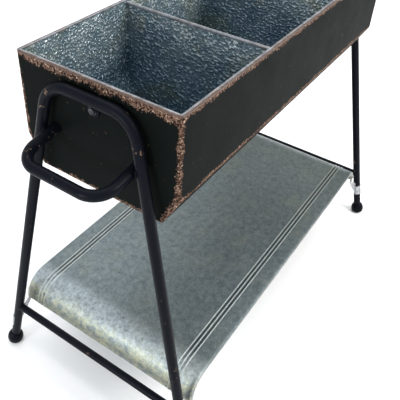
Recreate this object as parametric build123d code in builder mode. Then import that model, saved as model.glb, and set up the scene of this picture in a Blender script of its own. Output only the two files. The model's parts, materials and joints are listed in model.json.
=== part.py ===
from build123d import *
import os
from math import hypot, sqrt

os.makedirs("parts", exist_ok=True)

# Sizes in millimetres. X runs along the trough, Y across it and Z up. The origin is on
# the ground, under the middle of the trough. "near" is the -X end, "left" is the +Y side.

# Trough: painted sheet-metal shell with a folded galvanised lining
trough_length = 852
trough_width = 330
trough_depth = 220
rim_height = 782
bevel_width = 32
bevel_height = 58
shell_sheet = 1.5
cap_flange = 14
corner_radius = 6
rim_width = 7
rim_thickness = 3
rim_rounding = 1
lining_sheet = 1
divider_sheet = 1.5
divider_hem_width = 4
divider_hem_height = 7
divider_drop = 2
divider_clearance = 0.3
near_divider_place = -149
far_divider_place = 139

# End frames: one bent tube at each end, splayed to both sides and leaning a little outward,
# with a lug under the top bar that is bolted to the trough
tube_radius = 10
tube_wall = 1.5
bar_height = 754
bar_clearance = 0.3
shoulder_half_spread = 87
foot_half_spread = 254
foot_reach = 54
shoulder_bend = 52
lug_radius = 12
lug_thickness = 3
lug_drop = 24

# Feet: turned knobs pushed into the ends of the legs
foot_radius = 18
foot_centre_height = 14
foot_shank = 28
foot_groove_radius = 15.8
foot_groove_bottom = 7.5
foot_groove_width = 1.6
stem_length = 20
stem_clearance = 0.3

# Handles and crossbars
handle_radius = 10
handle_wall = 1.5
handle_height = 662
handle_drop = 15
handle_reach = 91
handle_bend = 40
handle_end_gap = 0.5
weld_gap = 0.2
crossbar_radius = 8
crossbar_wall = 1.5
crossbar_height = 140

# Shelf: one sheet with both ends rolled down, folded side hems and three beads at each side
shelf_length = 872
shelf_shift = -8
shelf_width = 450
shelf_sheet = 1.2
shelf_bend = 55
shelf_height = 199
hem_depth = 12
bead_width = 3
bead_rise = 0.9
bead_insets = [35, 43.5, 52]

# Straps from the shelf's hems down to half saddles on the legs
saddle_height = 85
saddle_width = 30
strap_sheet = 1.5
strap_gap = 0.1
strap_roll_gap = 0.4
strap_top = 169
strap_bend_drop = 2
strap_margin = 6.5
saddle_lap = 1.1

# Fasteners
screw_height = 161
screw_radius = 2
screw_head_radius = 3.8
screw_head_height = 2.4
screw_nut_radius = 3.8
screw_nut_height = 3
screw_end = 1
bolt_radius = 3
bolt_head_radius = 6
bolt_head_height = 4
bolt_nut_radius = 5.5
bolt_nut_height = 5
bolt_end = 2
washer_radius = 7.5
washer_thickness = 1.2
hole_clearance = 0.3

trough_end = trough_length / 2
trough_side = trough_width / 2
trough_bottom = rim_height - trough_depth
wall_top = rim_height - rim_thickness
lining_inset = rim_width - lining_sheet
lining_end = trough_end - rim_width
bar_reach = tube_radius + bar_clearance
bolt_height = bar_height - lug_drop
shelf_end_height = shelf_height - shelf_bend
shelf_half = shelf_length / 2
shelf_bend_centre = shelf_half - shelf_bend
strap_bend = shelf_end_height - strap_bend_drop
screw_bend = shelf_bend - hem_depth / 2
screw_rise = screw_height - shelf_end_height
screw_reach = shelf_bend_centre + sqrt(screw_bend**2 - screw_rise**2)
screw_places = {-1: shelf_shift - screw_reach, 1: shelf_shift + screw_reach}
end_names = {-1: "near", 1: "far"}
side_names = {1: "left", -1: "right"}


def leg_point(end, side, height):
    """Point on a leg's centre line at this height."""
    ground = Vector(end * (trough_end + foot_reach), side * foot_half_spread, 0)
    shoulder = Vector(end * (trough_end + bar_reach), side * shoulder_half_spread, bar_height)
    return ground + (shoulder - ground) * (height / bar_height)


def leg_plane(end, side, height):
    """Plane square to a leg, with its origin on the leg's centre line."""
    direction = leg_point(end, side, bar_height) - leg_point(end, side, 0)
    return Plane(origin=leg_point(end, side, height), x_dir=(0, 1, 0), z_dir=direction)


def section_points(inset, top):
    """Trough section, moved inward from the outer faces by the inset, open height at top."""
    slope = hypot(bevel_width, bevel_height)
    wall = trough_side - inset
    floor = trough_bottom + inset
    bend = trough_bottom + bevel_height + inset * (bevel_width / slope)
    bend = bend - inset * (slope - bevel_height) * bevel_height / (bevel_width * slope)
    corner = wall - (bend - floor) * bevel_width / bevel_height
    right = [(wall, top), (wall, bend), (corner, floor)]
    left = [(-y, z) for y, z in reversed(right)]
    return right + left


def section_face(inset, top, mode=Mode.ADD):
    """Draw the trough section in the current sketch."""
    Polygon(*section_points(inset, top), align=None, mode=mode)


# Trough shell: a folded wrap for the sides and bottom, and a rounded cap at each end
with BuildPart() as outer_wrap:
    with BuildSketch(Plane.YZ.offset(-(trough_end - cap_flange))):
        section_face(0, wall_top)
        section_face(shell_sheet, wall_top, mode=Mode.SUBTRACT)
    extrude(amount=trough_length - 2 * cap_flange)
outer_wrap.part.label = "outer_wrap"
export_step(outer_wrap.part, "parts/outer_wrap.step")

for end, end_name in end_names.items():
    with BuildPart() as end_cap:
        with BuildSketch(Plane.YZ.offset(end * (trough_end - cap_flange))):
            section_face(0, wall_top)
        extrude(amount=end * cap_flange)
        outer_face = end_cap.faces().sort_by(Axis.X)[0 if end < 0 else -1]
        fillet(outer_face.edges().sort_by(Axis.Z)[:-1], corner_radius)
        inner_face = end_cap.faces().sort_by(Axis.X)[-1 if end < 0 else 0]
        top_face = end_cap.faces().sort_by(Axis.Z)[-1]
        offset(amount=-shell_sheet, openings=[inner_face, top_face])
        with BuildSketch(Plane.YZ.offset(end * (trough_end - cap_flange))):
            with Locations((0, bolt_height)):
                Circle(bolt_radius + hole_clearance)
        extrude(amount=end * 2 * cap_flange, mode=Mode.SUBTRACT)
    end_cap.part.label = f"{end_name}_end_cap"
    export_step(end_cap.part, f"parts/{end_name}_end_cap.step")

with BuildPart() as rim_frame:
    with BuildSketch(Plane.XY.offset(wall_top)):
        RectangleRounded(trough_length, trough_width, corner_radius)
        RectangleRounded(
            trough_length - 2 * rim_width,
            trough_width - 2 * rim_width,
            rim_thickness,
            mode=Mode.SUBTRACT,
        )
    extrude(amount=rim_thickness)
    fillet(rim_frame.faces().sort_by(Axis.Z)[-1].edges(), rim_rounding)
rim_frame.part.label = "rim_frame"
export_step(rim_frame.part, "parts/rim_frame.step")

# Galvanised lining: a folded wrap closed by a sheet at each end
with BuildPart() as lining_wrap:
    with BuildSketch(Plane.YZ.offset(-(lining_end + lining_sheet))):
        section_face(lining_inset, wall_top)
        section_face(rim_width, wall_top, mode=Mode.SUBTRACT)
    extrude(amount=2 * (lining_end + lining_sheet))
lining_wrap.part.label = "lining_wrap"
export_step(lining_wrap.part, "parts/lining_wrap.step")

for end, end_name in end_names.items():
    with BuildPart() as lining_sheet_end:
        with BuildSketch(Plane.YZ.offset(end * lining_end)):
            section_face(rim_width, wall_top)
            with Locations((0, bolt_height)):
                Circle(bolt_radius + hole_clearance, mode=Mode.SUBTRACT)
        extrude(amount=end * lining_sheet)
    lining_sheet_end.part.label = f"{end_name}_lining_end"
    export_step(lining_sheet_end.part, f"parts/{end_name}_lining_end.step")

# Dividers: sheets with a thicker folded top edge
for divider_name, place in {"near": near_divider_place, "far": far_divider_place}.items():
    divider_inset = rim_width + divider_clearance
    divider_top = rim_height - divider_drop
    with BuildPart() as divider:
        with BuildSketch(Plane.YZ.offset(place - divider_sheet / 2)):
            section_face(divider_inset, divider_top)
        extrude(amount=divider_sheet)
        with BuildSketch(Plane.XY.offset(divider_top - divider_hem_height)):
            with Locations((place, 0)):
                Rectangle(divider_hem_width, trough_width - 2 * divider_inset)
        extrude(amount=divider_hem_height)
        fillet(divider.faces().sort_by(Axis.Z)[-1].edges().filter_by(Axis.Y), rim_rounding)
    divider.part.label = f"{divider_name}_divider"
    export_step(divider.part, f"parts/{divider_name}_divider.step")

# End frames, handles and crossbars
for end, end_name in end_names.items():
    with BuildPart() as end_frame:
        with BuildLine() as frame_route:
            FilletPolyline(
                leg_plane(end, 1, 0).offset(foot_shank).origin,
                leg_point(end, 1, bar_height),
                leg_point(end, -1, bar_height),
                leg_plane(end, -1, 0).offset(foot_shank).origin,
                radius=shoulder_bend,
            )
        with BuildSketch(Plane(origin=frame_route.line @ 0, z_dir=frame_route.line % 0)):
            Circle(tube_radius)
        sweep()
        with BuildSketch(Plane.YZ.offset(end * trough_end)):
            with Locations((0, bolt_height)):
                Circle(lug_radius)
                Rectangle(2 * lug_radius, lug_drop, align=(Align.CENTER, Align.MIN))
                Circle(bolt_radius + hole_clearance, mode=Mode.SUBTRACT)
        extrude(amount=end * lug_thickness)
        with BuildSketch(Plane(origin=frame_route.line @ 0, z_dir=frame_route.line % 0)):
            Circle(tube_radius - tube_wall)
        sweep(path=frame_route.line, mode=Mode.SUBTRACT)
    end_frame.part.label = f"{end_name}_frame"
    export_step(end_frame.part, f"parts/{end_name}_frame.step")

    handle_half_width = leg_point(end, 1, handle_height).Y - tube_radius - handle_radius - weld_gap
    handle_root = end * (trough_end + handle_end_gap)
    handle_front = end * (trough_end + handle_reach)
    grip_height = handle_height - handle_drop
    with BuildPart() as handle:
        with BuildLine() as handle_route:
            FilletPolyline(
                (handle_root, handle_half_width, handle_height),
                (handle_front, handle_half_width, grip_height),
                (handle_front, -handle_half_width, grip_height),
                (handle_root, -handle_half_width, handle_height),
                radius=handle_bend,
            )
        with BuildSketch(Plane(origin=handle_route.line @ 0, z_dir=handle_route.line % 0)):
            Circle(handle_radius)
            Circle(handle_radius - handle_wall, mode=Mode.SUBTRACT)
        sweep()
        split(bisect_by=Plane.YZ.offset(handle_root), keep=Keep.TOP if end > 0 else Keep.BOTTOM)
        for side in side_names:
            with BuildSketch(leg_plane(end, side, handle_height).offset(-handle_reach)):
                Circle(tube_radius + weld_gap)
            extrude(amount=2 * handle_reach, mode=Mode.SUBTRACT)
    handle.part.label = f"{end_name}_handle"
    export_step(handle.part, f"parts/{end_name}_handle.step")

    crossbar_leg = leg_point(end, 1, crossbar_height)
    with BuildPart() as crossbar:
        with BuildSketch(Plane.XZ.offset(-crossbar_leg.Y)):
            with Locations((crossbar_leg.X, crossbar_height)):
                Circle(crossbar_radius)
                Circle(crossbar_radius - crossbar_wall, mode=Mode.SUBTRACT)
        extrude(amount=2 * crossbar_leg.Y)
        for side in side_names:
            with BuildSketch(leg_plane(end, side, 0)):
                Circle(tube_radius + weld_gap)
            extrude(amount=2 * crossbar_height, mode=Mode.SUBTRACT)
    crossbar.part.label = f"{end_name}_crossbar"
    export_step(crossbar.part, f"parts/{end_name}_crossbar.step")

    for side, side_name in side_names.items():
        across = leg_plane(end, side, 0)
        turning_plane = Plane(origin=across.origin, x_dir=across.x_dir, z_dir=-across.y_dir)
        with BuildPart() as foot:
            with BuildSketch(turning_plane):
                with Locations((0, foot_centre_height)):
                    Circle(foot_radius)
                with Locations((0, foot_shank)):
                    Rectangle(
                        2 * foot_radius,
                        2 * foot_shank,
                        align=(Align.CENTER, Align.MAX),
                        mode=Mode.INTERSECT,
                    )
                with Locations((foot_groove_radius, foot_groove_bottom)):
                    Rectangle(
                        foot_radius, foot_groove_width, align=(Align.MIN, Align.MIN), mode=Mode.SUBTRACT
                    )
                with Locations((0, foot_shank)):
                    stem_radius = tube_radius - tube_wall - stem_clearance
                    Rectangle(2 * stem_radius, stem_length, align=(Align.CENTER, Align.MIN))
                Rectangle(
                    foot_radius,
                    4 * foot_shank,
                    align=(Align.MIN, Align.CENTER),
                    mode=Mode.INTERSECT,
                )
            revolve(axis=Axis(origin=across.origin, direction=across.z_dir))
            split(bisect_by=Plane.XY, keep=Keep.TOP)
        foot.part.label = f"{end_name}_{side_name}_foot"
        export_step(foot.part, f"parts/{end_name}_{side_name}_foot.step")


def shelf_band(rise, depth):
    """Draw the arched profile of the shelf: a band under its top face, raised by the rise."""
    with Locations((shelf_shift, shelf_end_height)):
        SlotOverall(shelf_length + 2 * rise, 2 * (shelf_bend + rise))
        SlotOverall(shelf_length - 2 * depth, 2 * (shelf_bend - depth), mode=Mode.SUBTRACT)
        Rectangle(
            2 * shelf_length,
            4 * shelf_bend,
            align=(Align.CENTER, Align.MAX),
            mode=Mode.SUBTRACT,
        )


# Shelf
screw_spots = [(place, screw_height) for place in screw_places.values()]
with BuildPart() as shelf:
    with BuildSketch(Plane.XZ):
        shelf_band(0, shelf_sheet)
    extrude(amount=shelf_width / 2, both=True)
    for side in side_names:
        with BuildSketch(Plane.XZ.offset(side * (shelf_width / 2 - shelf_sheet))):
            shelf_band(0, hem_depth)
            with Locations(*screw_spots):
                Circle(screw_radius + hole_clearance, mode=Mode.SUBTRACT)
        extrude(amount=side * shelf_sheet)
        for inset in bead_insets:
            with BuildSketch(Plane.XZ.offset(side * (shelf_width / 2 - inset))):
                shelf_band(bead_rise, shelf_sheet)
            extrude(amount=bead_width / 2, both=True)
shelf.part.label = "shelf"
export_step(shelf.part, "parts/shelf.step")

# Straps: each is screwed inside a shelf hem, bends out along its leg and ends in a half saddle
tail_inner = shelf_width / 2 - shelf_sheet - strap_gap - strap_sheet
saddle_top = saddle_height + saddle_width / 2
saddle_bottom = saddle_height - saddle_width / 2
tail_top = leg_point(1, 1, saddle_top).Y + saddle_lap - strap_sheet
tail_foot = leg_point(1, 1, saddle_bottom).Y + saddle_lap - strap_sheet
saddle_outer = tube_radius + strap_gap + strap_sheet
for end, end_name in end_names.items():
    for side, side_name in side_names.items():
        saddle_plane = leg_plane(end, side, saddle_height)
        leg_place = end * saddle_plane.origin.X
        hem_start = end * screw_places[end] - strap_margin
        hem_end = end * shelf_shift + shelf_half - shelf_sheet - strap_roll_gap
        with BuildPart() as strap:
            with BuildSketch(Plane.YZ):
                Polygon(
                    (side * tail_inner, strap_top),
                    (side * tail_inner, strap_bend),
                    (side * tail_top, saddle_top),
                    (side * tail_foot, saddle_bottom),
                    (side * (tail_foot + strap_sheet), saddle_bottom),
                    (side * (tail_top + strap_sheet), saddle_top),
                    (side * (tail_inner + strap_sheet), strap_bend),
                    (side * (tail_inner + strap_sheet), strap_top),
                    align=None,
                )
            extrude(amount=end * trough_length)
            with BuildSketch(Plane.XZ):
                Polygon(
                    (end * hem_start, strap_top),
                    (end * hem_end, strap_top),
                    (end * hem_end, strap_bend),
                    (end * leg_place, saddle_top),
                    (end * leg_place, saddle_bottom),
                    (end * (leg_place - 2 * strap_margin), saddle_bottom),
                    (end * hem_start, strap_bend),
                    align=None,
                )
                with Locations((screw_places[end], screw_height)):
                    Circle(screw_radius + hole_clearance, mode=Mode.SUBTRACT)
            extrude(amount=trough_length, both=True, mode=Mode.INTERSECT)
            with BuildSketch(Plane.XZ):
                shelf_band(shelf_bend, shelf_sheet + strap_roll_gap)
            extrude(amount=shelf_width / 2, both=True, mode=Mode.SUBTRACT)
            with BuildSketch(saddle_plane.offset(-saddle_width / 2)):
                Circle(saddle_outer)
                Rectangle(
                    2 * saddle_outer,
                    2 * saddle_outer,
                    align=(Align.MAX if side > 0 else Align.MIN, Align.CENTER),
                    mode=Mode.SUBTRACT,
                )
            extrude(amount=saddle_width)
            with BuildSketch(saddle_plane.offset(-strap_top)):
                Circle(tube_radius + strap_gap)
            extrude(amount=2 * strap_top, mode=Mode.SUBTRACT)
        strap.part.label = f"{end_name}_{side_name}_strap"
        export_step(strap.part, f"parts/{end_name}_{side_name}_strap.step")

# Strap screws and nuts
head_face = shelf_width / 2
nut_face = tail_inner
with BuildPart() as strap_screws:
    for side in side_names:
        with BuildSketch(Plane.XZ.offset(-side * head_face)):
            with Locations(*screw_spots):
                Circle(screw_head_radius)
        extrude(amount=-side * screw_head_height)
        with BuildSketch(Plane.XZ.offset(-side * head_face)):
            with Locations(*screw_spots):
                Circle(screw_radius)
        extrude(amount=side * (head_face - nut_face + screw_nut_height + screw_end))
    heads = strap_screws.faces().filter_by(Axis.Y).group_by(Axis.Y)
    fillet(heads[0].edges() + heads[-1].edges(), screw_head_height / 2)
strap_screws.part.label = "strap_screws"
export_step(strap_screws.part, "parts/strap_screws.step")

with BuildPart() as strap_nuts:
    for side in side_names:
        with BuildSketch(Plane.XZ.offset(-side * nut_face)):
            with Locations(*screw_spots):
                RegularPolygon(screw_nut_radius, 6)
                Circle(screw_radius + hole_clearance, mode=Mode.SUBTRACT)
        extrude(amount=side * screw_nut_height)
strap_nuts.part.label = "strap_nuts"
export_step(strap_nuts.part, "parts/strap_nuts.step")

# Frame bolts: one through each lug, the end cap and the lining
washer_face = trough_end + lug_thickness
bolt_head_face = washer_face + washer_thickness
inner_washer_face = lining_end
bolt_nut_face = inner_washer_face - washer_thickness
with BuildPart() as frame_bolts:
    for end in end_names:
        with BuildSketch(Plane.YZ.offset(end * bolt_head_face)):
            with Locations((0, bolt_height)):
                Circle(bolt_head_radius)
        extrude(amount=end * bolt_head_height)
        with BuildSketch(Plane.YZ.offset(end * bolt_head_face)):
            with Locations((0, bolt_height)):
                Circle(bolt_radius)
        extrude(amount=-end * (bolt_head_face - bolt_nut_face + bolt_nut_height + bolt_end))
    bolt_heads = frame_bolts.faces().filter_by(Axis.X).group_by(Axis.X)
    fillet(bolt_heads[0].edges() + bolt_heads[-1].edges(), bolt_head_height / 2)
frame_bolts.part.label = "frame_bolts"
export_step(frame_bolts.part, "parts/frame_bolts.step")

with BuildPart() as frame_washers:
    for end in end_names:
        for face in (washer_face, bolt_nut_face):
            with BuildSketch(Plane.YZ.offset(end * face)):
                with Locations((0, bolt_height)):
                    Circle(washer_radius)
                    Circle(bolt_radius + hole_clearance, mode=Mode.SUBTRACT)
            extrude(amount=end * washer_thickness)
frame_washers.part.label = "frame_washers"
export_step(frame_washers.part, "parts/frame_washers.step")

with BuildPart() as frame_nuts:
    for end in end_names:
        with BuildSketch(Plane.YZ.offset(end * bolt_nut_face)):
            with Locations((0, bolt_height)):
                RegularPolygon(bolt_nut_radius, 6)
                Circle(bolt_radius + hole_clearance, mode=Mode.SUBTRACT)
        extrude(amount=-end * bolt_nut_height)
frame_nuts.part.label = "frame_nuts"
export_step(frame_nuts.part, "parts/frame_nuts.step")
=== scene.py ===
import bpy, bmesh, json, math
from mathutils import Matrix, Vector, noise


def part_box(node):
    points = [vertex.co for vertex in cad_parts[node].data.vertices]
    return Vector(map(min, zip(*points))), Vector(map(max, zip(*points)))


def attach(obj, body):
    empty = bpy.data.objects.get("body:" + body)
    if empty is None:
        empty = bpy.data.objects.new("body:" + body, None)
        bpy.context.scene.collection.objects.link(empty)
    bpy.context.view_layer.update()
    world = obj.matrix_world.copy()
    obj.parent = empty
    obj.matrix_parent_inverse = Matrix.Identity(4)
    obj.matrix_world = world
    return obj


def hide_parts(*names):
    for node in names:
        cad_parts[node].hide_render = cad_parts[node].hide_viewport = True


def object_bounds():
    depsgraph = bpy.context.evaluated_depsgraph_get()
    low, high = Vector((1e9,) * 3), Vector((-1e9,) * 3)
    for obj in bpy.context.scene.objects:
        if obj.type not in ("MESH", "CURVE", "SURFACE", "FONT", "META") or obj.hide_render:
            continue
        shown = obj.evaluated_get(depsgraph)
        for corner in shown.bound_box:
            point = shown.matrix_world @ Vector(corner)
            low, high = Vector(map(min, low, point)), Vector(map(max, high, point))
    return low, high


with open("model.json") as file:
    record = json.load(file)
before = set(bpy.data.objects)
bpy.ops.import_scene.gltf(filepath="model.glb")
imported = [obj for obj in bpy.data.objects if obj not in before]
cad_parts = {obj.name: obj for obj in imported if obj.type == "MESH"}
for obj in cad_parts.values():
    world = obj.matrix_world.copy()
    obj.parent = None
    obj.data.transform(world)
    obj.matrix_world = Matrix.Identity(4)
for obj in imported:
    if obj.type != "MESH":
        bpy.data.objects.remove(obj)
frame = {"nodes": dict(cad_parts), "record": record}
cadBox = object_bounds()
nodes = frame["nodes"]

# Everything is in metres. X runs along the trough, Y across it, Z up. "near" is the -X end.
trough = {
    "end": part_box("rim_frame")[1].x,
    "side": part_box("rim_frame")[1].y,
    "rim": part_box("rim_frame")[1].z,
    "wallTop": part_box("rim_frame")[0].z,
    "bottom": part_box("outer_wrap")[0].z,
    "foldIn": 0.032,  # the slanted fold between side and bottom
    "foldUp": 0.058,
    "lining": 0.007,  # from the outer face to the inner face of the lining
}
leg = {
    "barHeight": 0.754,
    "spread": 0.254,  # at the ground, from the middle
    "spreadTop": 0.087,
    "reach": 0.480,
    "reachTop": trough["end"] + 0.0103,
    "radius": 0.010,
}


def legPoint(end, side, height):
    share = height / leg["barHeight"]
    across = leg["spread"] + (leg["spreadTop"] - leg["spread"]) * share
    along = leg["reach"] + (leg["reachTop"] - leg["reach"]) * share
    return Vector((end * along, side * across, height))


# ---- camera, light and floor ----

cameraSet = {
    "place": (-0.98654, -0.52925, 1.21854),
    "heading": 32.380,  # degrees, from +X towards +Y
    "dip": 36.896,
    "roll": 3.173,
    "lens": 52.06,
    "shiftX": 0.035,
    "shiftY": -0.11,
}


def makeCamera():
    heading, dip, roll = (math.radians(cameraSet[k]) for k in ("heading", "dip", "roll"))
    level = Vector((math.cos(heading), math.sin(heading), 0))
    forward = level * math.cos(dip) - Vector((0, 0, math.sin(dip)))
    right = forward.cross(Vector((0, 0, 1))).normalized()
    up = right.cross(forward)
    rolledRight = right * math.cos(roll) + up * math.sin(roll)
    rolledUp = up * math.cos(roll) - right * math.sin(roll)
    turn = Matrix((rolledRight, rolledUp, -forward)).transposed().to_4x4()
    camera = bpy.data.objects.new("camera", bpy.data.cameras.new("camera"))
    camera.matrix_world = Matrix.Translation(cameraSet["place"]) @ turn
    camera.data.lens = cameraSet["lens"]
    camera.data.sensor_width = 36
    camera.data.shift_x = cameraSet["shiftX"]
    camera.data.shift_y = cameraSet["shiftY"]
    bpy.context.collection.objects.link(camera)
    bpy.context.scene.camera = camera


lightSet = {
    # name: (place, size, power, colour); every lamp aims at the middle of the planter
    "sideSoftbox": ((0.6, -2.6, 3.0), 1.5, 100, (1.0, 0.98, 0.95)),
    "endSoftbox": ((-3.4, 0.7, 1.15), 0.9, 48, (0.90, 0.95, 1.0)),
    "topSoftbox": ((0.9, 0.6, 3.8), 3.6, 90, (0.98, 0.99, 1.0)),
}
worldStrength = 0.95


def makeLights():
    middle = (cadBox[0] + cadBox[1]) / 2
    for name, (place, size, power, colour) in lightSet.items():
        lamp = bpy.data.lights.new(name, "AREA")
        lamp.size, lamp.energy, lamp.color = size, power, colour
        holder = bpy.data.objects.new(name, lamp)
        holder.location = place
        holder.rotation_mode = "QUATERNION"
        holder.rotation_quaternion = (middle - Vector(place)).to_track_quat("-Z", "Y")
        bpy.context.collection.objects.link(holder)
    world = bpy.data.worlds.new("studio")
    bpy.context.scene.world = world
    world.use_nodes = True
    world.node_tree.nodes["Background"].inputs["Color"].default_value = (0.97, 0.985, 1.0, 1)
    world.node_tree.nodes["Background"].inputs["Strength"].default_value = worldStrength
    bpy.context.scene.view_settings.view_transform = "Standard"


def makeFloor():
    mesh = bpy.data.meshes.new("floor")
    reach = 30
    corners = [(-reach, -reach, 0), (reach, -reach, 0), (reach, reach, 0), (-reach, reach, 0)]
    mesh.from_pydata(corners, [], [(0, 1, 2, 3)])
    floor = bpy.data.objects.new("floor", mesh)
    bpy.context.collection.objects.link(floor)
    paper = bpy.data.materials.new("floorPaper")
    paper.use_nodes = True
    shader = paper.node_tree.nodes["Principled BSDF"]
    shader.inputs["Base Color"].default_value = (0.95, 0.95, 0.95, 1)
    shader.inputs["Roughness"].default_value = 0.9
    mesh.materials.append(paper)


makeCamera()
makeLights()
makeFloor()
print("camera, lights and floor")


# ---- node helpers ----

def addNode(tree, kind, inputs=None, **settings):
    node = tree.nodes.new(kind)
    for key, value in settings.items():
        setattr(node, key, value)
    for key, value in (inputs or {}).items():
        if isinstance(value, bpy.types.NodeSocket):
            tree.links.new(value, node.inputs[key])
        else:
            node.inputs[key].default_value = value
    return node


def calc(tree, operation, first, second=0.0, third=0.0):
    values = {0: first, 1: second, 2: third}
    return addNode(tree, "ShaderNodeMath", values, operation=operation).outputs[0]


def grainOf(tree, place, scale, detail=4.0, rough=0.6, warp=0.0):
    ports = {"Vector": place, "Scale": scale, "Detail": detail, "Roughness": rough, "Distortion": warp}
    return addNode(tree, "ShaderNodeTexNoise", ports).outputs["Fac"]


def ramp(tree, value, low, high, start=0.0, end=1.0):
    ports = {"Value": value, "From Min": low, "From Max": high, "To Min": start, "To Max": end}
    return addNode(tree, "ShaderNodeMapRange", ports).outputs["Result"]


def blendColour(tree, share, first, second, mode="MIX"):
    node = addNode(tree, "ShaderNodeMix", {0: share}, data_type="RGBA", blend_type=mode)
    for port, colour in ((6, first), (7, second)):
        if isinstance(colour, bpy.types.NodeSocket):
            tree.links.new(colour, node.inputs[port])
        else:
            node.inputs[port].default_value = (*colour, 1)
    return node.outputs[2]


def newGroup(name, inputs, outputs):
    group = bpy.data.node_groups.new(name, "ShaderNodeTree")
    for label, kind, value in inputs:
        port = group.interface.new_socket(label, in_out="INPUT", socket_type="NodeSocket" + kind)
        if value is not None:
            port.default_value = value
    for label, kind in outputs:
        group.interface.new_socket(label, in_out="OUTPUT", socket_type="NodeSocket" + kind)
    return group, group.nodes.new("NodeGroupInput").outputs, group.nodes.new("NodeGroupOutput").inputs


def useGroup(tree, group, **ports):
    node = tree.nodes.new("ShaderNodeGroup")
    node.node_tree = group
    for key, value in ports.items():
        if isinstance(value, bpy.types.NodeSocket):
            tree.links.new(value, node.inputs[key])
        else:
            node.inputs[key].default_value = (*value, 1) if isinstance(value, tuple) else value
    return node.outputs


# ---- shared effects ----

def makeRaggedWear():
    # 1 where the paint has gone: close to an edge, with a broken border
    inputs = [("Vector", "Vector", None), ("Nearness", "Float", 1.0), ("Coarse", "Float", 1.0),
              ("Fine", "Float", 1.0), ("Flecks", "Float", 0.5)]
    group, given, result = newGroup("raggedWear", inputs, [("Mask", "Float")])
    coarse = calc(group, "SUBTRACT", grainOf(group, given["Vector"], 30.0, 3.0), 0.5)
    fine = calc(group, "SUBTRACT", grainOf(group, given["Vector"], 290.0, 5.0, 0.74), 0.5)
    shifted = calc(group, "MULTIPLY_ADD", coarse, given["Coarse"], given["Nearness"])
    shifted = calc(group, "MULTIPLY_ADD", fine, given["Fine"], shifted)
    bare = ramp(group, shifted, 1.03, 0.94)
    left = ramp(group, grainOf(group, given["Vector"], 260.0, 3.0, 0.6, 0.6), 0.47, 0.42)
    kept = calc(group, "MULTIPLY", left, given["Flecks"])
    group.links.new(calc(group, "MULTIPLY", bare, calc(group, "SUBTRACT", 1.0, kept)), result["Mask"])
    return group


def makeChips():
    # scattered small spots with broken borders
    inputs = [("Vector", "Vector", None), ("Scale", "Float", 60.0), ("Amount", "Float", 0.1)]
    group, given, result = newGroup("chips", inputs, [("Mask", "Float")])
    broad = grainOf(group, given["Vector"], given["Scale"], 5.0, 0.65)
    zone = grainOf(group, given["Vector"], 9.0, 2.0)
    level = calc(group, "SUBTRACT", 0.78, calc(group, "MULTIPLY", given["Amount"], zone))
    over = calc(group, "SUBTRACT", broad, level)
    group.links.new(ramp(group, over, 0.0, 0.02), result["Mask"])
    return group


def makeSurfaceGrain():
    inputs = [("Vector", "Vector", None), ("Scale", "Float", 300.0),
              ("Low", "Float", 0.3), ("High", "Float", 0.5)]
    outputs = [("Roughness", "Float"), ("Height", "Float")]
    group, given, result = newGroup("surfaceGrain", inputs, outputs)
    fine = grainOf(group, given["Vector"], given["Scale"], 3.0)
    cloud = grainOf(group, given["Vector"], 22.0, 4.0, 0.6)
    both = calc(group, "MULTIPLY_ADD", calc(group, "SUBTRACT", fine, 0.5), 0.5, cloud)
    group.links.new(ramp(group, both, 0.3, 0.7, given["Low"], given["High"]), result["Roughness"])
    group.links.new(fine, result["Height"])
    return group


def makeMottle():
    # cloudy sheet metal: two tones with a third one in blotches
    inputs = [("Vector", "Vector", None), ("Scale", "Float", 30.0),
              ("Dark", "Color", (0.1, 0.1, 0.1, 1)), ("Light", "Color", (0.5, 0.5, 0.5, 1)),
              ("Stain", "Color", (0.3, 0.3, 0.1, 1)), ("Stained", "Float", 0.3)]
    group, given, result = newGroup("mottle", inputs, [("Color", "Color")])
    cloud = grainOf(group, given["Vector"], given["Scale"], 8.0, 0.68, 0.3)
    share = ramp(group, cloud, 0.36, 0.64)
    tone = blendColour(group, share, given["Dark"], given["Light"])
    patch = ramp(group, grainOf(group, given["Vector"], 11.0, 5.0, 0.62, 0.5), 0.5, 0.66)
    patch = calc(group, "MULTIPLY", patch, given["Stained"])
    group.links.new(blendColour(group, patch, tone, given["Stain"]), result["Color"])
    return group


raggedWear = makeRaggedWear()
chips = makeChips()
surfaceGrain = makeSurfaceGrain()
mottle = makeMottle()


def newMaterial(name):
    material = bpy.data.materials.new(name)
    material.use_nodes = True
    tree = material.node_tree
    place = addNode(tree, "ShaderNodeTexCoord").outputs["Object"]
    return material, tree, tree.nodes["Principled BSDF"], place


shaderPorts = {
    "colour": "Base Color", "roughness": "Roughness", "metallic": "Metallic", "normal": "Normal",
}


def finishMaterial(tree, shader, **ports):
    for key, value in ports.items():
        name = shaderPorts[key]
        if isinstance(value, bpy.types.NodeSocket):
            tree.links.new(value, shader.inputs[name])
        else:
            shader.inputs[name].default_value = value


def bumpOf(tree, height, distance, strength=1.0):
    ports = {"Height": height, "Distance": distance, "Strength": strength}
    return addNode(tree, "ShaderNodeBump", ports).outputs["Normal"]


# ---- painted shell ----

shellLook = {
    "paint": (0.0022, 0.0034, 0.0030),
    "paintLight": (0.0045, 0.0060, 0.0056),
    "worn": ((0.018, 0.010, 0.007), (0.085, 0.044, 0.030), (0.24, 0.155, 0.115), (0.58, 0.53, 0.41)),
    "rimBand": 0.0115,  # how far the wear reaches from each kind of edge
    "sideRimBand": 0.0060,
    "cornerBand": 0.0072,
    "foldBand": 0.0030,
    "endFoldBand": 0.0085,
    "ragged": {"Coarse": 2.6, "Fine": 2.9, "Flecks": 0.9},
    "wornStops": (0.38, 0.50, 0.59, 0.67),  # noise level at which each worn tone starts
    "sheen": 0.02,
}


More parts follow.
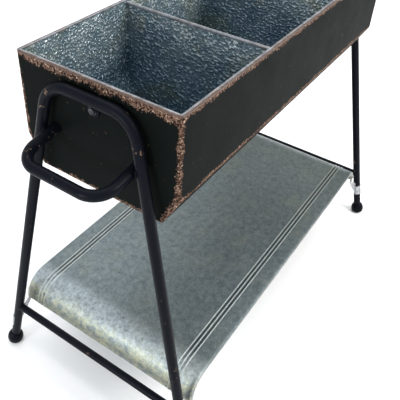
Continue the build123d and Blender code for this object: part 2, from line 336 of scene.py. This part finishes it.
def makeShellPaint():
    material, tree, shader, place = newMaterial("shellPaint")
    split = addNode(tree, "ShaderNodeSeparateXYZ", {0: place}).outputs
    fromEnd = calc(tree, "SUBTRACT", trough["end"], calc(tree, "ABSOLUTE", split["X"]))
    fromSide = calc(tree, "SUBTRACT", trough["side"], calc(tree, "ABSOLUTE", split["Y"]))
    fromTop = calc(tree, "SUBTRACT", trough["wallTop"], split["Z"])
    fromBottom = calc(tree, "SUBTRACT", split["Z"], trough["bottom"])
    # distance from the slanted face, square to it
    lean = math.hypot(trough["foldIn"], trough["foldUp"])
    rise = calc(tree, "SUBTRACT", split["Z"], trough["bottom"] + trough["foldUp"])
    fromSlant = calc(tree, "MULTIPLY", fromSide, trough["foldUp"] / lean)
    fromSlant = calc(tree, "MULTIPLY_ADD", rise, trough["foldIn"] / lean, fromSlant)

    def apart(first, second, band):
        square = calc(tree, "MULTIPLY_ADD", first, first, calc(tree, "MULTIPLY", second, second))
        return calc(tree, "DIVIDE", calc(tree, "SQRT", square), band)

    rimBand = ramp(tree, fromEnd, 0.003, 0.012, shellLook["rimBand"], shellLook["sideRimBand"])
    nearness = calc(tree, "DIVIDE", fromTop, rimBand)
    for first, second, band in (
        (fromEnd, fromSide, "cornerBand"),
        (fromEnd, fromSlant, "endFoldBand"),
        (fromEnd, fromBottom, "endFoldBand"),
        (fromSide, fromSlant, "foldBand"),
        (fromSlant, fromBottom, "foldBand"),
    ):
        nearness = calc(tree, "MINIMUM", nearness, apart(first, second, shellLook[band]))
    gone = useGroup(tree, raggedWear, Vector=place, Nearness=nearness, **shellLook["ragged"])["Mask"]
    spots = useGroup(tree, chips, Vector=place, Scale=150.0, Amount=0.20)["Mask"]
    gone = calc(tree, "MAXIMUM", gone, calc(tree, "MULTIPLY", spots, 0.7))
    tone = grainOf(tree, place, 260.0, 6.0, 0.75, 0.4)
    metal = addNode(tree, "ShaderNodeValToRGB", {0: tone})
    stops = metal.color_ramp.elements
    for spot, colour in zip(shellLook["wornStops"], shellLook["worn"]):
        stop = stops.new(spot)
        stop.color = (*colour, 1)
    stops.remove(stops[0])
    stops.remove(stops[-1])
    grain = useGroup(tree, surfaceGrain, Vector=place, Scale=420.0, Low=0.45, High=0.52)
    cloud = grainOf(tree, place, 14.0, 5.0)
    paint = blendColour(tree, cloud, shellLook["paint"], shellLook["paintLight"])
    colour = blendColour(tree, gone, paint, metal.outputs["Color"])
    # worn places lie lower than the paint and are rougher
    height = calc(tree, "MULTIPLY_ADD", gone, -0.6, calc(tree, "MULTIPLY", grain["Height"], 0.25))
    height = calc(tree, "MULTIPLY_ADD", calc(tree, "MULTIPLY", tone, gone), 0.5, height)
    rough = calc(tree, "MULTIPLY_ADD", gone, 0.16, grain["Roughness"])
    bump = bumpOf(tree, height, 0.0005, 0.8)
    finishMaterial(tree, shader, colour=colour, roughness=rough, normal=bump)
    shader.inputs["Specular IOR Level"].default_value = shellLook["sheen"]
    return material


# ---- bare and galvanised sheet ----

def product(tree, first, second, third=1.0):
    return calc(tree, "MULTIPLY", calc(tree, "MULTIPLY", first, second), third)


def hammeredColour(tree, place, colour, look):
    # painted highlight: light dashes on the raised grain, standing in for glints where it would catch
    # the light; painted shade: the colour darkened deep in the trough
    turned = addNode(tree, "ShaderNodeMapping", {"Vector": place, "Scale": (1.0, 0.55, 0.8)}).outputs[0]
    dashes = grainOf(tree, turned, look["paintedGlintScale"], 0.6, 0.5, 0.25)
    paintedHighlight = ramp(tree, dashes, look["paintedGlintFrom"], look["paintedGlintFrom"] + 0.10)
    colour = blendColour(tree, calc(tree, "MULTIPLY", paintedHighlight, look["paintedGlintShare"]), colour, look["paintedGlint"])
    level = addNode(tree, "ShaderNodeSeparateXYZ", {0: place}).outputs["Z"]
    # painted shade: the colour is darkened below the given heights, deep in the trough
    deep = ramp(tree, level, look["troughShadeFrom"], look["troughShadeTo"])
    return blendColour(tree, deep, colour, look["troughShadeTone"], "MULTIPLY"), ramp(tree, dashes, 0.42, 0.72)


def beadLines(tree, split, colour, look):
    # painted highlights on the bead crests and painted shade in the grooves between them
    inset = calc(tree, "SUBTRACT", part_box("shelf")[1].y, calc(tree, "ABSOLUTE", split["Y"]))
    dark = paintedHighlight = 0.0
    for bead in look["beads"]:
        crest = calc(tree, "ABSOLUTE", calc(tree, "SUBTRACT", inset, bead))
        paintedHighlight = calc(tree, "MAXIMUM", paintedHighlight, ramp(tree, crest, 0.0016, 0.0006))
    # painted shade: dark lines in the grooves between the beads
    for first, second in zip(look["beads"], look["beads"][1:]):
        gap = calc(tree, "ABSOLUTE", calc(tree, "SUBTRACT", inset, (first + second) / 2))
        dark = calc(tree, "MAXIMUM", dark, ramp(tree, gap, 0.0022, 0.0010))
    colour = blendColour(tree, calc(tree, "MULTIPLY", dark, look["grooveShadeShare"]), colour, look["groove"])
    return blendColour(tree, calc(tree, "MULTIPLY", paintedHighlight, look["crestHighlightShare"]), colour, look["crest"])


def rolledEnds(tree, place, split, colour, look):
    # an olive tint and a painted highlight band where the ends roll down, painted shade darker towards
    # the far end, and a fine spangle
    top = look["rollTop"]
    # olive tint painted on the lower part of each roll
    low = ramp(tree, split["Z"], top - 0.005, top - 0.018)
    patch = ramp(tree, grainOf(tree, place, 75.0, 8.0, 0.8), 0.42, 0.56)
    colour = blendColour(tree, product(tree, low, patch, look["rollLowerTint"]), colour, look["stain"])
    # painted shade: darker towards the far end
    colour = blendColour(tree, ramp(tree, split["X"], -0.20, 0.40), colour, look["farShadeTone"], "MULTIPLY")
    pepper = ramp(tree, grainOf(tree, place, 330.0, 4.0, 0.7), 0.34, 0.66, 0.72, 1.26)
    tint = addNode(tree, "ShaderNodeCombineXYZ", {0: pepper, 1: pepper, 2: pepper}).outputs[0]
    colour = blendColour(tree, 1.0, colour, tint, "MULTIPLY")
    # painted highlight: a light band on the upper part of each roll
    rolled = ramp(tree, calc(tree, "ABSOLUTE", split["X"]), 0.372, 0.415)
    cloud = ramp(tree, grainOf(tree, place, 120.0, 8.0, 0.8), 0.38, 0.60, 0.15, 1.0)
    fading = ramp(tree, split["Z"], top - 0.026, top - 0.010, 0.22, 1.0)
    glint = product(tree, cloud, rolled, fading)
    return blendColour(tree, calc(tree, "MULTIPLY", glint, look["glintShare"]), colour, look["glint"])


def dirtyLip(tree, place, split, colour, look):
    # old paint and dirt along the outer part of the lip
    fromEnd = calc(tree, "SUBTRACT", trough["end"], calc(tree, "ABSOLUTE", split["X"]))
    fromSide = calc(tree, "SUBTRACT", trough["side"], calc(tree, "ABSOLUTE", split["Y"]))
    nearness = calc(tree, "DIVIDE", calc(tree, "MINIMUM", fromEnd, fromSide), look["edgeWidth"])
    dirty = useGroup(tree, raggedWear, Vector=place, Nearness=nearness, **look["edgeRagged"])["Mask"]
    return blendColour(tree, dirty, colour, look["edge"])


def makeSheetMetal(name, look):
    material, tree, shader, place = newMaterial(name)
    split = addNode(tree, "ShaderNodeSeparateXYZ", {0: place}).outputs
    stained = look["stained"]
    if "beads" in look:  # the shelf's olive blotches grow stronger where its ends roll down
        stained = ramp(tree, calc(tree, "ABSOLUTE", split["X"]), 0.39, 0.425, 0.12, look["stained"])
    cloud = useGroup(tree, mottle, Vector=place, Scale=look["scale"], Dark=look["dark"],
                     Light=look["light"], Stain=look["stain"], Stained=stained)
    grain = useGroup(tree, surfaceGrain, Vector=place, Scale=look["grain"],
                     Low=look["smooth"], High=look["rough"])
    colour, height = cloud["Color"], grain["Height"]
    if "paintedGlint" in look:
        colour, raised = hammeredColour(tree, place, colour, look)
        height = calc(tree, "MULTIPLY_ADD", raised, 0.9, calc(tree, "MULTIPLY", height, 0.2))
    if "beads" in look:
        colour = beadLines(tree, split, colour, look)
        colour = rolledEnds(tree, place, split, colour, look)
    if "edge" in look:
        colour = dirtyLip(tree, place, split, colour, look)
    finishMaterial(tree, shader, colour=colour, roughness=grain["Roughness"], metallic=look["metallic"],
                   normal=bumpOf(tree, height, look["relief"], 0.9))
    return material


shelfBeads = (0.035, 0.0435, 0.052)  # the middle of each bead, from the shelf's side

liningLook = {
    "scale": 13.0, "dark": (0.125, 0.200, 0.245), "light": (0.33, 0.415, 0.435),
    "stain": (0.27, 0.29, 0.19), "stained": 0.65, "grain": 500.0, "smooth": 0.18, "rough": 0.32,
    # painted highlight: light dashes standing in for glints on the hammered grain
    "metallic": 0.5, "relief": 0.0030, "paintedGlint": (0.90, 0.95, 0.97), "paintedGlintShare": 0.75,
    "paintedGlintScale": 270.0, "paintedGlintFrom": 0.585,
    # painted shade: the lining is darkened below these heights, deep in the trough
    "troughShadeFrom": 0.76, "troughShadeTo": 0.64,  # heights above the ground
    "troughShadeTone": (0.42, 0.50, 0.58),
}
# the dividers are the same sheet, painted darker than the walls as painted shade, with fewer painted
# highlights and a weaker, bluer painted shade deep in the trough
dividerShadedLook = dict(
    liningLook, dark=(0.095, 0.148, 0.190), light=(0.225, 0.275, 0.290), stain=(0.215, 0.215, 0.140),
    paintedGlintShare=0.42, paintedGlintFrom=0.60, troughShadeTone=(0.72, 0.84, 0.98),
)
shelfLook = {
    "scale": 75.0, "dark": (0.084, 0.108, 0.116), "light": (0.148, 0.180, 0.188),
    "stain": (0.30, 0.295, 0.175), "stained": 0.5, "grain": 420.0, "smooth": 0.34, "rough": 0.50,
    "metallic": 0.55, "relief": 0.0006, "beads": shelfBeads, "rollTop": 0.199,
    # painted shade towards the far end; olive tint on the lower part of each roll
    "farShadeTone": (0.60, 0.60, 0.545), "rollLowerTint": 0.8,
    # painted shade in the grooves between the beads
    "groove": (0.016, 0.020, 0.020), "grooveShadeShare": 0.85,
    # painted highlights on the bead crests
    "crest": (0.50, 0.54, 0.53), "crestHighlightShare": 0.7,
    # painted highlight on the upper part of each roll
    "glint": (0.62, 0.70, 0.74), "glintShare": 0.6,
}
rimLook = {
    "scale": 60.0, "dark": (0.11, 0.115, 0.125), "light": (0.27, 0.28, 0.30),
    "stain": (0.20, 0.14, 0.10), "stained": 0.7, "grain": 600.0, "smooth": 0.34, "rough": 0.52,
    "metallic": 0.65, "relief": 0.0002, "edge": (0.085, 0.050, 0.036), "edgeWidth": 0.0028,
    "edgeRagged": {"Coarse": 1.6, "Fine": 1.8, "Flecks": 0.3},
}
zincLook = {
    "scale": 90.0, "dark": (0.20, 0.21, 0.22), "light": (0.50, 0.51, 0.53),
    "stain": (0.40, 0.37, 0.31), "stained": 0.25, "grain": 700.0, "smooth": 0.22, "rough": 0.38,
    "metallic": 0.9, "relief": 0.0002,
}
boltLook = {
    "scale": 120.0, "dark": (0.02, 0.022, 0.026), "light": (0.075, 0.08, 0.09),
    "stain": (0.10, 0.07, 0.05), "stained": 0.4, "grain": 700.0, "smooth": 0.24, "rough": 0.40,
    "metallic": 0.8, "relief": 0.0002,
}


# ---- painted tubes and feet ----

tubeLook = {
    "paint": (0.0020, 0.0028, 0.0050),
    "paintLight": (0.0050, 0.0062, 0.0100),
    "primer": (0.055, 0.032, 0.021),
    "bare": (0.16, 0.11, 0.08),
    "sheen": 0.05,
}


def makeTubePaint(name, chipAmount, low, high):
    material, tree, shader, place = newMaterial(name)
    spots = useGroup(tree, chips, Vector=place, Scale=60.0, Amount=chipAmount)["Mask"]
    grain = useGroup(tree, surfaceGrain, Vector=place, Scale=260.0, Low=low, High=high)
    cloud, speckle = grainOf(tree, place, 20.0, 5.0), grainOf(tree, place, 320.0, 3.0)
    paint = blendColour(tree, cloud, tubeLook["paint"], tubeLook["paintLight"])
    under = blendColour(tree, speckle, tubeLook["primer"], tubeLook["bare"])
    colour = blendColour(tree, spots, paint, under)
    height = calc(tree, "MULTIPLY_ADD", spots, -0.5, calc(tree, "MULTIPLY", grain["Height"], 0.35))
    rough = calc(tree, "MULTIPLY_ADD", spots, 0.25, grain["Roughness"])
    bump = bumpOf(tree, height, 0.0004, 0.7)
    finishMaterial(tree, shader, colour=colour, roughness=rough, normal=bump)
    shader.inputs["Specular IOR Level"].default_value = tubeLook["sheen"]
    return material


shellPaint = makeShellPaint()
liningMetal = makeSheetMetal("liningMetal", liningLook)
dividerShadedMetal = makeSheetMetal("dividerShadedMetal", dividerShadedLook)
shelfMetal = makeSheetMetal("shelfMetal", shelfLook)
rimMetal = makeSheetMetal("rimMetal", rimLook)
zincMetal = makeSheetMetal("zincMetal", zincLook)
boltMetal = makeSheetMetal("boltMetal", boltLook)
tubePaint = makeTubePaint("tubePaint", 0.245, 0.30, 0.42)
footPaint = makeTubePaint("footPaint", 0.16, 0.24, 0.38)

slotLooks = {
    "shell_paint": shellPaint, "rim_metal": rimMetal, "galvanised_lining": liningMetal,
    "galvanised_shelf": shelfMetal, "frame_paint": tubePaint, "foot_paint": footPaint,
    "zinc_plate": zincMetal,
}
for row in frame["record"]["subparts"]:
    for holder in nodes[row["node"]].material_slots:
        holder.material = slotLooks[row["material_slot"]]
for name in ("frame_bolts", "frame_washers", "frame_nuts"):
    nodes[name].material_slots[0].material = boltMetal
print("materials")


# ---- mesh helpers ----

def addPiece(name, points, faces, material, replaced=(), sharp=40):
    mesh = bpy.data.meshes.new(name)
    mesh.from_pydata(points, [], faces)
    shape = bmesh.new()
    shape.from_mesh(mesh)
    bmesh.ops.recalc_face_normals(shape, faces=shape.faces)
    shape.to_mesh(mesh)
    shape.free()
    mesh.polygons.foreach_set("use_smooth", [True] * len(mesh.polygons))
    mesh.set_sharp_from_angle(angle=math.radians(sharp))
    mesh.materials.append(material)
    piece = bpy.data.objects.new(name, mesh)
    bpy.context.collection.objects.link(piece)
    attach(piece, "root")
    if replaced:
        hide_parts(*replaced)
    return piece


def sheetMesh(rows, thickness, front, back):
    # rows of (point, outward direction); front and back give the relief of either face
    tall, wide = len(rows), len(rows[0])
    points = [point + out * front(point) for row in rows for point, out in row]
    points += [point - out * (thickness + back(point)) for row in rows for point, out in row]
    behind = tall * wide
    faces = []
    for k in range(tall - 1):
        for i in range(wide - 1):
            p = k * wide + i
            faces.append((p, p + 1, p + wide + 1, p + wide))
            faces.append((p + behind + wide, p + behind + wide + 1, p + behind + 1, p + behind))
        for p in (k * wide, k * wide + wide - 1):
            faces.append((p, p + wide, p + wide + behind, p + behind))
    for start in (0, (tall - 1) * wide):
        for p in range(start, start + wide - 1):
            faces.append((p, p + 1, p + 1 + behind, p + behind))
    return points, faces


def roundedLine(corners, radius, step):
    # a line through flat corner points, its bends rounded, with a point about every step
    line = [Vector(corners[0])]
    for before, corner, after in zip(corners, corners[1:], corners[2:]):
        corner = Vector(corner)
        back = (Vector(before) - corner).normalized()
        ahead = (Vector(after) - corner).normalized()
        half = back.angle(ahead) / 2
        centre = corner + (back + ahead).normalized() * radius / math.sin(half)
        start = corner + back * radius / math.tan(half)
        end = corner + ahead * radius / math.tan(half)
        for share in (0, 0.25, 0.5, 0.75, 1):
            line.append(centre + (start - centre).lerp(end - centre, share).normalized() * radius)
    line.append(Vector(corners[-1]))
    filled = [line[0]]
    for first, second in zip(line, line[1:]):
        count = max(1, round((second - first).length / step))
        filled += [first.lerp(second, n / count) for n in range(1, count + 1)]
    return filled


def sidesOf(line):
    # direction square to the line at each point, to its left
    sides = []
    for i in range(len(line)):
        ahead = line[min(i + 1, len(line) - 1)] - line[max(i - 1, 0)]
        sides.append(Vector((-ahead.y, ahead.x)).normalized())
    return sides


def spread(start, end, step):
    count = max(1, round(abs(end - start) / step))
    return [start + (end - start) * n / count for n in range(count + 1)]


# ---- hammered lining ----

liningSet = {"sheet": 0.001, "step": 0.0028, "cell": 0.0064, "relief": 0.0007, "foldRadius": 0.006}


def hammered(point):
    spot = Vector((point.x, point.y * 0.7, point.z * 0.85)) / liningSet["cell"]
    gaps = noise.voronoi(spot)[0]
    ridge = max(0.0, 1 - (gaps[1] - gaps[0]) / 0.4)
    wave = noise.noise(point * 14) * 0.5 + 0.5
    return liningSet["relief"] * (0.75 * ridge + 0.25 * wave)


def hammeredBack(point):
    return hammered(point + Vector((0.3, 0, 0)))  # another part of the pattern


def flat(point):
    return 0.0


def troughSection(inset):
    lean = math.hypot(trough["foldIn"], trough["foldUp"])
    wall = trough["side"] - inset
    floor = trough["bottom"] + inset
    bend = trough["bottom"] + trough["foldUp"] + inset * trough["foldIn"] / lean
    bend -= inset * (lean - trough["foldUp"]) * trough["foldUp"] / (trough["foldIn"] * lean)
    corner = wall - (bend - floor) * trough["foldIn"] / trough["foldUp"]
    return wall, corner, bend, floor


def makeLiningWrap():
    wall, corner, bend, floor = troughSection(trough["lining"])
    top = trough["wallTop"]
    corners = [(wall, top), (wall, bend), (corner, floor), (-corner, floor), (-wall, bend), (-wall, top)]
    line = roundedLine(corners, liningSet["foldRadius"], liningSet["step"])
    sides = sidesOf(line)
    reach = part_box("lining_wrap")[1].x
    rows = []
    for x in spread(-reach, reach, liningSet["step"]):
        rows.append([(Vector((x, p.x, p.y)), Vector((0, -s.x, -s.y))) for p, s in zip(line, sides)])
    points, faces = sheetMesh(rows, liningSet["sheet"], hammered, flat)
    addPiece("liningWrap", points, faces, liningMetal, ["lining_wrap"])


def crossWallRows(x, out, inset, top):
    wall, corner, bend, floor = troughSection(inset)
    rows = []
    for z in spread(floor, bend, liningSet["step"])[:-1] + spread(bend, top, liningSet["step"]):
        share = min(1, (z - floor) / (bend - floor))
        width = corner + (wall - corner) * share
        count = round(2 * wall / liningSet["step"])
        across = [width * (2 * n / count - 1) for n in range(count + 1)]
        rows.append([(Vector((x, y, z)), Vector((out, 0, 0))) for y in across])
    return rows


def makeLiningEnds():
    for end, name in ((-1, "near"), (1, "far")):
        low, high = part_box(name + "_lining_end")
        face = high.x if end < 0 else low.x
        rows = crossWallRows(face, -end, trough["lining"], trough["wallTop"])
        points, faces = sheetMesh(rows, liningSet["sheet"], hammered, flat)
        addPiece(name + "LiningEnd", points, faces, liningMetal,
                 [name + "_lining_end"])


dividerSet = {
    "sheet": 0.0015,
    "hemWide": 0.0046,
    "hemDeep": 0.0075,
    "gap": 0.0006,
    "sag": 0.0012,  # of the hem at mid width
    "wave": 0.0006,
    "ring": 14,  # points round the hem
    "step": 0.006,
}


def squared(value):
    # cosine or sine of a circle, pushed out towards a rounded square
    return math.copysign(abs(value) ** 0.7, value)


def makeDividers():
    for name in ("near", "far"):
        low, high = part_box(name + "_divider")
        middle = (low.x + high.x) / 2
        hemBottom = high.z - dividerSet["hemDeep"]
        inset = trough["lining"] + dividerSet["gap"]
        rows = crossWallRows(middle + dividerSet["sheet"] / 2, 1, inset, hemBottom)
        points, faces = sheetMesh(rows, dividerSet["sheet"], hammered, hammeredBack)
        # folded top edge: a flattened loop with small waves along its length
        start = len(points)
        ring = dividerSet["ring"]
        reach = high.y
        stations = spread(-reach, reach, dividerSet["step"])
        for y in stations:
            wave = noise.noise(Vector((middle * 9, y * 22, 1.7))) * dividerSet["wave"]
            drop = dividerSet["sag"] * (1 - (y / reach) ** 2)
            for n in range(ring):
                turn = 2 * math.pi * n / ring
                wide = squared(math.cos(turn)) * dividerSet["hemWide"] / 2
                deep = squared(math.sin(turn)) * dividerSet["hemDeep"] / 2
                points.append(Vector((middle + wide + wave, y, (high.z + hemBottom) / 2 + deep - drop)))
        for k in range(len(stations) - 1):
            for n in range(ring):
                p, q = start + k * ring + n, start + k * ring + (n + 1) % ring
                faces.append((p, q, q + ring, p + ring))
        faces.append(tuple(range(start, start + ring)))
        faces.append(tuple(range(len(points) - ring, len(points))))
        piece = addPiece(name + "Divider", points, faces, dividerShadedMetal,
                         [name + "_divider"])
        piece.data.materials.append(rimMetal)
        for face in piece.data.polygons:
            if min(face.vertices) >= start:
                face.material_index = 1


makeLiningWrap()
makeLiningEnds()
makeDividers()
print("lining and dividers")


# ---- shelf ----

shelfSet = {
    "sheet": 0.0012,
    "rollRadius": 0.055,
    "hemDeep": 0.012,
    "hemRadius": 0.003,
    "beadHalf": 0.0019,
    "beadProud": 0.0009,  # how far the beads of the CAD shelf stand above its face
    "beadRise": 0.0016,
    "wave": 0.0006,
    "step": 0.006,
    "archStep": 0.008,
    "rollSteps": 18,
    "edgeCalm": 0.03,  # the waves die out this close to the sides
}


def shelfSection():
    # half of the section, from the hem's lower edge to the middle: (distance across, height)
    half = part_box("shelf")[1].y
    radius = shelfSet["hemRadius"]
    line = [(-half, -shelfSet["hemDeep"]), (-half, -shelfSet["hemDeep"] / 2 - radius / 2)]
    for n in range(7):
        turn = math.pi / 2 * n / 6
        line.append((-half + radius * (1 - math.cos(turn)), radius * (math.sin(turn) - 1)))
    step = shelfSet["step"]
    spots = [-half + radius + step * n for n in range(1, int((half - radius) / step))]
    beads = [-half + inset for inset in shelfBeads]
    reach = shelfSet["beadHalf"]
    spots = [y for y in spots if all(abs(y - bead) > reach * 1.3 for bead in beads)]
    for bead in beads:
        spots += [bead + reach * n / 5 for n in range(-6, 7)]
    for y in sorted(spots):
        rise = sum(max(0.0, 1 - ((y - bead) / reach) ** 2) for bead in beads) * shelfSet["beadRise"]
        line.append((y, rise))
    return line


def makeShelf():
    low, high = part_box("shelf")
    top = high.z - shelfSet["beadProud"]
    radius = shelfSet["rollRadius"]
    shift = (low.x + high.x) / 2
    centre = (high.x - low.x) / 2 - shelfSet["beadProud"] - radius
    half = shelfSection()
    line = half + [(0.0, 0.0)] + [(-y, h) for y, h in reversed(half)]
    sides = sidesOf([Vector(p) for p in line])
    # stations along the arch: (x, z, direction of its outer face)
    stations = []
    turns = shelfSet["rollSteps"]
    for n in range(turns + 1):
        turn = math.pi / 2 * (1 - n / turns)
        x = -centre - radius * math.sin(turn)
        stations.append((x, top - radius + radius * math.cos(turn), -turn))
    stations += [(x, top, 0.0) for x in spread(-centre, centre, shelfSet["archStep"])[1:-1]]
    stations += [(-x, z, -turn) for x, z, turn in reversed(stations[:turns + 1])]
    rows = []
    for x, z, turn in stations:
        up = Vector((math.sin(turn), 0, math.cos(turn)))
        row = []
        for (y, h), s in zip(line, sides):
            wave = noise.noise(Vector((x * 5, y * 6, 0.3)))
            wave += 0.5 * noise.noise(Vector((x * 14, y * 14, 2.3)))
            calm = min(1.0, (abs(line[0][0]) - abs(y)) / shelfSet["edgeCalm"])
            point = Vector((x + shift, y, z)) + up * (h + wave * shelfSet["wave"] * calm)
            row.append((point, Vector((0, s.x, 0)) + up * s.y))
        rows.append(row)
    points, faces = sheetMesh(rows, shelfSet["sheet"], flat, flat)
    addPiece("shelfSheet", points, faces, shelfMetal, ["shelf"], 50)


makeShelf()
print("shelf")


# ---- feet and welds ----

footSet = {
    "radius": 0.018,
    "widest": 0.012,  # height of the widest ring
    "above": (0.022, 2.2),  # how far the round runs above and below it, and how full it is
    "below": (0.0135, 2.5),
    "neck": 0.0305,
    "groove": 0.0080,
    "grooveHalf": 0.0009,
    "grooveDeep": 0.0010,
    "step": 0.00075,
}


def turnedRings(points, faces, profile, origin, axis, sides=40):
    across = axis.orthogonal().normalized()
    beside = axis.cross(across)
    start = len(points)
    for radius, height in profile:
        for n in range(sides):
            turn = 2 * math.pi * n / sides
            reach = across * math.cos(turn) + beside * math.sin(turn)
            points.append(origin + axis * height + reach * radius)
    for k in range(len(profile) - 1):
        for n in range(sides):
            p, q = start + k * sides + n, start + k * sides + (n + 1) % sides
            faces.append((p, q, q + sides, p + sides))
    faces.append(tuple(range(start, start + sides)))
    faces.append(tuple(range(len(points) - sides, len(points))))


def makeFeet():
    profile = []
    for height in spread(0, footSet["neck"], footSet["step"]):
        reach, full = footSet["above" if height > footSet["widest"] else "below"]
        share = abs(height - footSet["widest"]) / reach
        bulge = footSet["radius"] * (1 - share ** full) ** (1 / full)
        dip = math.exp(-((height - footSet["groove"]) / footSet["grooveHalf"]) ** 2)
        groove = dip * footSet["grooveDeep"]
        profile.append((bulge - groove, height))
    for end, endName in ((-1, "near"), (1, "far")):
        for side, sideName in ((1, "left"), (-1, "right")):
            ground = legPoint(end, side, 0)
            axis = (legPoint(end, side, leg["barHeight"]) - ground).normalized()
            points, faces = [], []
            turnedRings(points, faces, profile, ground, axis)
            for point in points:
                point.z = max(0.0, point.z)
            addPiece(endName + sideName.capitalize() + "Knob", points, faces, footPaint,
                     [f"{endName}_{sideName}_foot"])


weldSet = {
    "bead": 0.0017,
    "crossbarHeight": 0.140,
    "crossbarRadius": 0.008,
    "crossbarPoints": 36,
    "handleHeight": 0.662,
    "handleBead": 0.0022,
    "handleWide": 0.0052,  # half sizes of the patch where handle and leg meet
    "handleTall": 0.0056,
    "handlePoints": 30,
    "lumpy": 0.28,
}


def beadAlong(points, faces, path, radius, seed):
    # closed lumpy bead round a joint
    count, ring, start = len(path), 8, len(points)
    middle = sum(path, Vector()) / count
    for k, spot in enumerate(path):
        ahead = (path[(k + 1) % count] - path[k - 1]).normalized()
        outward = (spot - middle).normalized()
        beside = ahead.cross(outward).normalized()
        lump = radius * (1 + weldSet["lumpy"] * noise.noise(Vector((k * 0.9, seed, 0.5))))
        for n in range(ring):
            turn = 2 * math.pi * n / ring
            points.append(spot + (outward * math.cos(turn) + beside * math.sin(turn)) * lump)
    for k in range(count):
        for n in range(ring):
            here, ahead = start + k * ring, start + (k + 1) % count * ring
            after = (n + 1) % ring
            faces.append((here + n, here + after, ahead + after, ahead + n))


def makeWelds():
    for end, endName in ((-1, "near"), (1, "far")):
        points, faces = [], []
        for side in (1, -1):
            middle = legPoint(end, side, weldSet["crossbarHeight"])
            path = []
            for n in range(weldSet["crossbarPoints"]):
                turn = 2 * math.pi * n / weldSet["crossbarPoints"]
                along = weldSet["crossbarRadius"] * math.cos(turn)
                up = weldSet["crossbarRadius"] * math.sin(turn)
                axis = legPoint(end, side, middle.z + up)
                inward = math.sqrt(leg["radius"] ** 2 - (middle.x + along - axis.x) ** 2)
                path.append(Vector((middle.x + along, axis.y - side * inward, middle.z + up)))
            beadAlong(points, faces, path, weldSet["bead"], side + 3 * end)
            joint = legPoint(end, side, weldSet["handleHeight"])
            joint.y -= side * leg["radius"]
            path = []
            for n in range(weldSet["handlePoints"]):
                turn = 2 * math.pi * n / weldSet["handlePoints"]
                wide = weldSet["handleWide"] * math.cos(turn)
                path.append(joint + Vector((wide, 0, weldSet["handleTall"] * math.sin(turn))))
            beadAlong(points, faces, path, weldSet["handleBead"], side + 5 * end)
        addPiece(endName + "Welds", points, faces, tubePaint, (), 80)


makeFeet()
makeWelds()
print("feet and welds")
